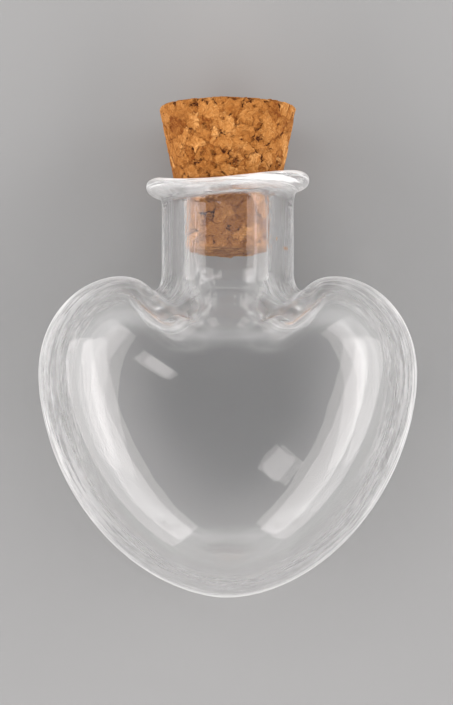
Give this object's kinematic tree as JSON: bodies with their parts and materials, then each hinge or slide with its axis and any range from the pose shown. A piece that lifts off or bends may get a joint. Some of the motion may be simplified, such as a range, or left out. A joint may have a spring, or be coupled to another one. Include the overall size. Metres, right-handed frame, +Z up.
{
  "type": "heart-shaped glass vial with cork stopper",
  "caption": "Small clear glass vial in the shape of a heart, with a rolled lip and a tapered cork stopper that pulls out of the neck.",
  "frame": {"origin": "on the table, under the middle of the vial's length and width as it lies on its back", "axes": "+Y along the vial towards the neck, +X across the heart, +Z up, out of its front face"},
  "size_m": [0.0304, 0.04, 0.0171],
  "materials": {
    "clear_glass": "clear, fire-polished",
    "cork": "matte agglomerated cork"
  },
  "bodies": {
    "vial": {"glass_vial": "clear_glass"},
    "stopper": {"cork_stopper": "cork"}
  },
  "joints": [
    {"name": "stopper_pull", "type": "slide", "parent": "vial", "child": "stopper", "axis": [0, 0.9948, -0.1021], "range_m": [0, 0.015]}
  ]
}
